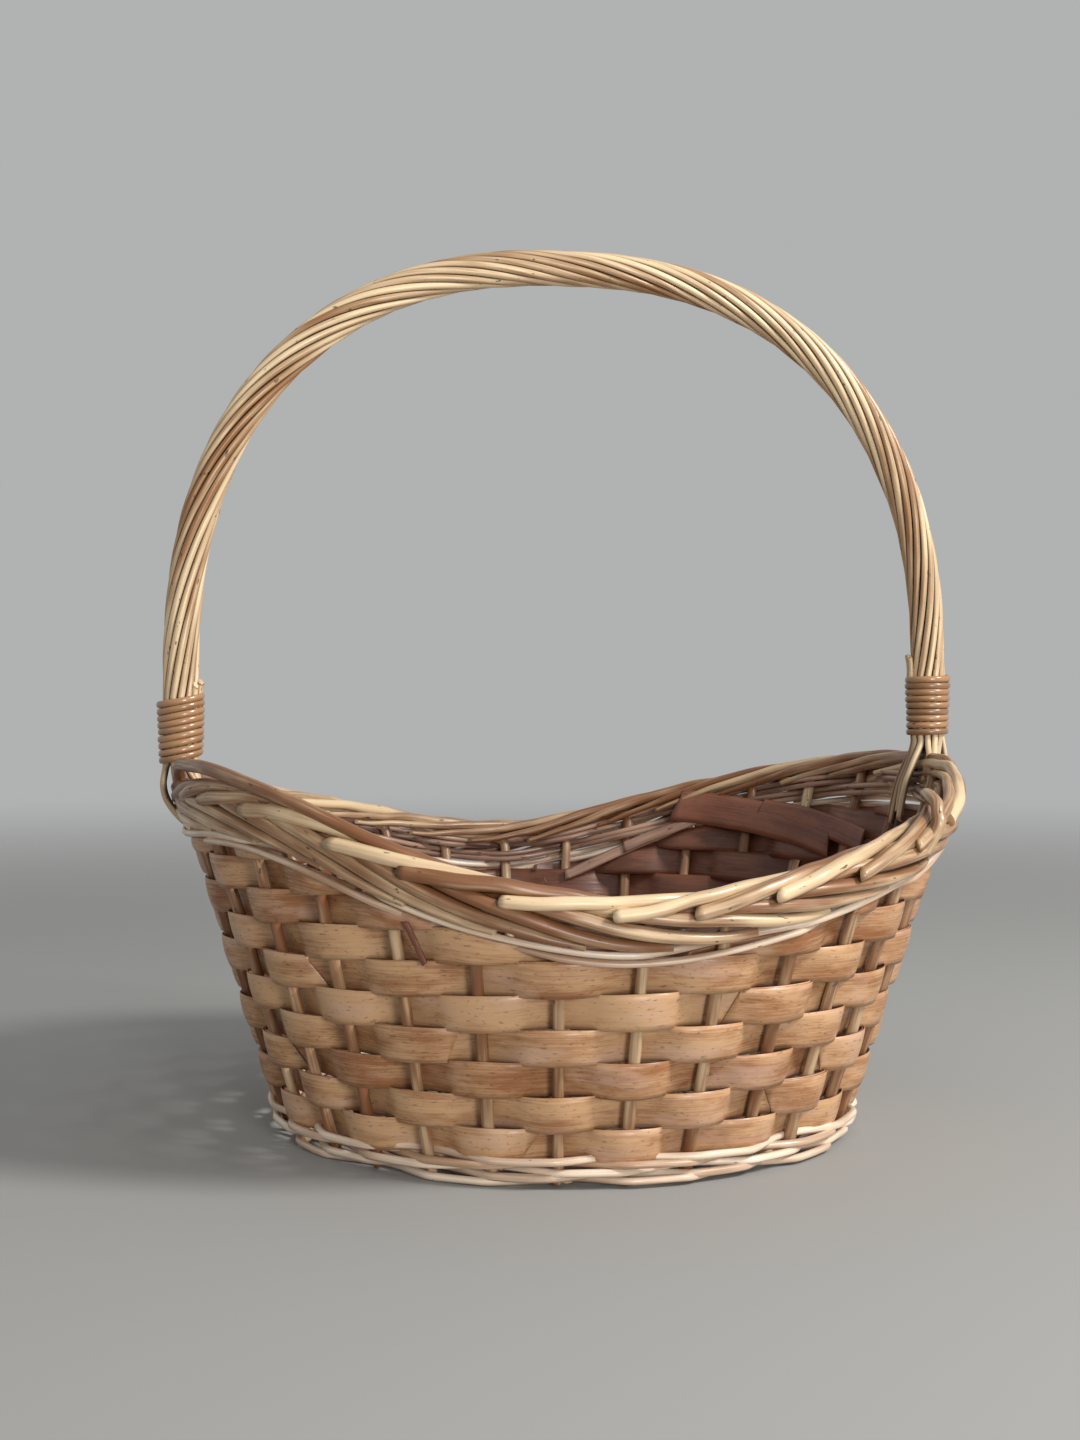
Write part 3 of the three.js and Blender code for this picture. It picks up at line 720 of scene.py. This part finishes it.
def foot_knots(side, phase, rod):
    """Below a lashing a rod runs down outside the border, into it or inside the wall."""
    top = rim_height(0 if side > 0 else math.pi)
    reach = HANDLE_ROD_OUT * math.cos(phase)
    level = HANDLE_ROD_OUT * math.sin(phase)
    if math.cos(phase) > 0.75:
        route = [(5, 7.4), (-2, 9.0), (-9, 9.6), (-16, 7.0), (-21, 3.0)]
    elif math.cos(phase) > -0.35:
        route = [(5, 0.9 * reach), (-1, 0.7 * reach), (-8, 0.5 * reach), (-14, 0.4 * reach)]
    else:
        route = [(5, reach), (-4, -7.8), (-16, -8.8), (-30 - 3 * (rod % 3), -7.0)]
    knots = []
    for step, (rise, outward) in enumerate(route):
        x, z = leg_point(side, top + rise)
        knots.append((x + side * outward, level * (1 + 0.12 * step), z))
    return knots


def add_handle():
    """Twelve rods twisted round a core painted very dark brown as the shade in the gaps between them, each
    with its ends led down past or into the border.
    """
    places, out, turned = handle_frame()
    sides = 12
    # how far each corner of a rod faces the core, used by the handle material to paint shade in the grooves
    inner = (1 - np.cos(np.arange(sides) / sides * TURN)) / 2
    for rod in range(HANDLE_ROD_COUNT):
        phase = rod / HANDLE_ROD_COUNT * TURN + 0.2
        radial = out * np.cos(turned + phase)[:, None]
        radial[:, 1] += np.sin(turned + phase)
        reach = HANDLE_ROD_OUT + wander(len(places), 0.12, 20)
        twisted = places + radial * reach[:, None]
        first = foot_knots(1, phase, rod)[::-1]
        last = foot_knots(-1, turned[-1] + phase, rod)
        start = spline([*first, twisted[0], twisted[2]], 36)[:-4]
        finish = spline([twisted[-3], twisted[-1], *last], 36)[4:]
        line = np.vstack([start, twisted[1:-1], finish])
        middle = np.vstack([start, places[1:-1], finish])
        middle[:len(start), :2] = (HALF_SPAN, 0)
        middle[-len(finish):, :2] = (-HALF_SPAN, 0)
        thick = HANDLE_ROD_RADIUS * (1 + rng.uniform(-0.05, 0.03))
        taper = np.interp(np.linspace(0, 1, len(line)), [0, 0.5, 1], [0.95, 1.03, 0.95])
        radius = thick * taper * (1 + wander(len(line), 0.02, 30))
        nodes = [f"handle_rod_{rod + 1}"] if rod < CAD_HANDLE_RODS else []
        add_piece(f"twisted_rod_{rod + 1:02d}", line, round_section(radius, sides), [GOLD, CUT], "handle",
                  across=unit(line - middle), inner=inner, slants=(0.6, 0.6), stands_for=nodes)
    core = round_section(np.full(len(places), HANDLE_CORE_RADIUS), sides)
    # the core's near-black brown is painted shade in the gaps between the rods
    add_piece("twisted_core", places, core, [BROWN_AND_GAP_SHADE, CUT], "handle", stands_for=["handle_core"])


def add_stubs():
    """Short rod ends that stand up out of the top of each lashing on its inner side."""
    for side, end in ((1, "right"), (-1, "left")):
        top = rim_height(0 if side > 0 else math.pi) + LASHING_RISE + LASHING_LENGTH
        for k in range(STUB_COUNT):
            angle = math.pi + (k - 1) * 0.42 - side * 0.35
            rise = rng.uniform(5, 10)
            knots = []
            for height, lean in ((-14, 0), (-5, 0), (rise / 2, 0.2), (rise, 0.9)):
                reach = HANDLE_ROD_OUT + HANDLE_ROD_RADIUS + 0.4 + lean
                x = side * (HALF_SPAN + reach * math.cos(angle))
                knots.append((x, reach * math.sin(angle), top + height))
            line = spline(knots, 21)
            section = round_section(np.full(len(line), STUB_RADIUS), 8)
            add_piece(f"rod_stub_{end}_{k + 1}", line, section, [TAN, CUT], "handle", slants=(0, 1.0))


def add_chips():
    """Splint and rod ends on the inside of the back wall, under the rim, and a split one at the front."""
    # stake spacings and depth of one end, of the other end, width, outward of each end, material
    chips = (
        ((4.15, 11), (1.2, 46), 19, (-7.6, -5.2), CHIP),
        ((2.7, 24), (0.4, 47), 13, (-6.6, -4.6), CHIP),
        ((6.0, 34), (3.9, 22), 6, (-6.8, -5.6), DUSKY),
        ((5.0, 27), (3.2, 19), 6, (-7.4, -5.8), DUSKY),
        ((19.25, 30), (19.42, 46), 2.8, (5.6, 4.9), CHIP),
    )
    for number, (start, end, width, outward, material) in enumerate(chips):
        count = 40
        angle = stake_angle(np.linspace(start[0], end[0], count))
        depth = np.linspace(start[1], end[1], count) + wander(count, 0.2, 3)
        z = rim_height(angle) - depth
        out = np.linspace(*outward, count) + wander(count, 0.15, 3)
        section = strip_section(np.full(count, width), CHIP_THICKNESS, np.full(count, 0.5))
        add_piece(f"chip_{number + 1}", on_wall(angle, z, out), section, [material], "splint",
                  across=wall_up(angle), slants=(0.35, -0.3))


def add_lashings():
    """Nine turns of glossy cane round each foot of the handle, the last one tucked in."""
    pitch = LASHING_LENGTH / LASHING_TURNS
    for side, name, tilt in ((1, "right", -0.04), (-1, "left", 0.14)):
        bottom = rim_height(0 if side > 0 else math.pi) + LASHING_RISE
        count = LASHING_TURNS * 28 + 1
        turn = np.linspace(0, LASHING_TURNS, count)
        angle = turn * TURN + 2.1
        reach = HANDLE_ROD_OUT + HANDLE_ROD_RADIUS + 1.0 + wander(count, 0.12, 30)
        reach += 0.9 * turn / LASHING_TURNS
        reach -= 1.6 * np.clip(turn - LASHING_TURNS + 0.4, 0, 1) / 0.4
        z = bottom + (turn + 0.1) * pitch + wander(count, 0.15, 30) + tilt * reach * np.cos(angle)
        line = np.stack([side * HALF_SPAN + reach * np.cos(angle), reach * np.sin(angle), z], -1)
        around = np.arange(12) / 12 * TURN
        section = np.stack([CANE_WIDTH / 2 * np.cos(around), CANE_THICKNESS / 2 * np.sin(around)], -1)
        across = np.tile((0.0, 0.0, 1.0), (count, 1))
        add_piece(f"cane_lashing_{name}", line, section, [CANE, CUT], "lashing", across=across,
                  stands_for=[f"lashing_{name}"])


# ------------------------------------------------------------------------------ stage, light, camera
FLOOR_RADIUS = 2.4  # metres
FLOOR_SIDES = 96
FLOOR_COLOUR = srgb(160, 160, 158)
WORLD_COLOUR = srgb(177, 178, 178)


def add_stage():
    """A pale floor that fades into the pale world behind it, so that there is no horizon."""
    mesh = bpy.data.meshes.new("floor")
    around = np.arange(FLOOR_SIDES) / FLOOR_SIDES * TURN
    edge = np.stack([FLOOR_RADIUS * np.cos(around), FLOOR_RADIUS * np.sin(around), 0 * around], -1)
    mesh.from_pydata(edge.tolist(), [], [list(range(FLOOR_SIDES))])
    nodes = Nodes("floor_paint")
    nodes.shader.inputs["Base Color"].default_value = FLOOR_COLOUR
    nodes.shader.inputs["Roughness"].default_value = 0.9
    place = nodes.add("ShaderNodeTexCoord").outputs["Object"]
    distance = nodes.tree.nodes.new("ShaderNodeVectorMath")
    distance.operation = "LENGTH"
    nodes.give(distance.inputs[0], place)
    solid = nodes.span(distance.outputs["Value"], 0.3 * FLOOR_RADIUS, FLOOR_RADIUS, 1.0, 0.0)
    nodes.give(nodes.shader.inputs["Alpha"], solid)
    mesh.materials.append(nodes.material)
    floor = bpy.data.objects.new("floor", mesh)
    bpy.context.scene.collection.objects.link(floor)
    world = bpy.data.worlds.new("studio")
    world.use_nodes = True
    background = world.node_tree.nodes["Background"]
    background.inputs["Color"].default_value = WORLD_COLOUR
    bpy.context.scene.world = world
    bpy.context.scene.view_settings.view_transform = "Standard"


def add_light(name, place, target, size, power, colour=(1, 1, 1)):
    data = bpy.data.lights.new(name, "AREA")
    data.shape = "DISK"
    data.size = size
    data.energy = power
    data.color = colour
    light = bpy.data.objects.new(name, data)
    light.location = place
    light.rotation_mode = "QUATERNION"
    light.rotation_quaternion = (Vector(target) - Vector(place)).to_track_quat("-Z", "Y")
    bpy.context.scene.collection.objects.link(light)


CAMERA_AZIMUTH = -10.15  # degrees; 0 looks along +Y
CAMERA_ELEVATION = 1.9
CAMERA_ROLL = 0.09
CAMERA_DISTANCE = 1.016  # metres
CAMERA_TARGET = Vector((-0.0132, 0, 0.1961))
CAMERA_LENS = 51.4  # millimetres, on a sensor 36 wide


def add_camera():
    azimuth = math.radians(CAMERA_AZIMUTH)
    elevation = math.radians(CAMERA_ELEVATION)
    level = math.cos(elevation)
    back = Vector((math.sin(azimuth) * level, -math.cos(azimuth) * level, math.sin(elevation)))
    right = Vector((math.cos(azimuth), math.sin(azimuth), 0))
    turn = Matrix.Rotation(math.radians(CAMERA_ROLL), 3, back)
    right = turn @ right
    up = back.cross(right)
    data = bpy.data.cameras.new("camera")
    data.sensor_width = 36
    data.lens = CAMERA_LENS
    camera = bpy.data.objects.new("camera", data)
    camera.matrix_world = Matrix((right, up, back)).transposed().to_4x4()
    camera.location = CAMERA_TARGET + back * CAMERA_DISTANCE
    bpy.context.scene.collection.objects.link(camera)
    bpy.context.scene.camera = camera


add_stakes()
add_border_rods()
add_foot_loops()
add_rim_weavers()
add_foot()
add_splints()
add_base()
add_handle()
add_stubs()
add_lashings()
add_chips()
add_stage()
add_light("key", (1.25, -1.0, 1.35), (0, 0, 0.2), 0.5, 35, (1, 0.98, 0.95))
add_light("fill", (0.3, -1.8, 0.34), (0, 0, 0.15), 0.5, 13.5)
add_camera()
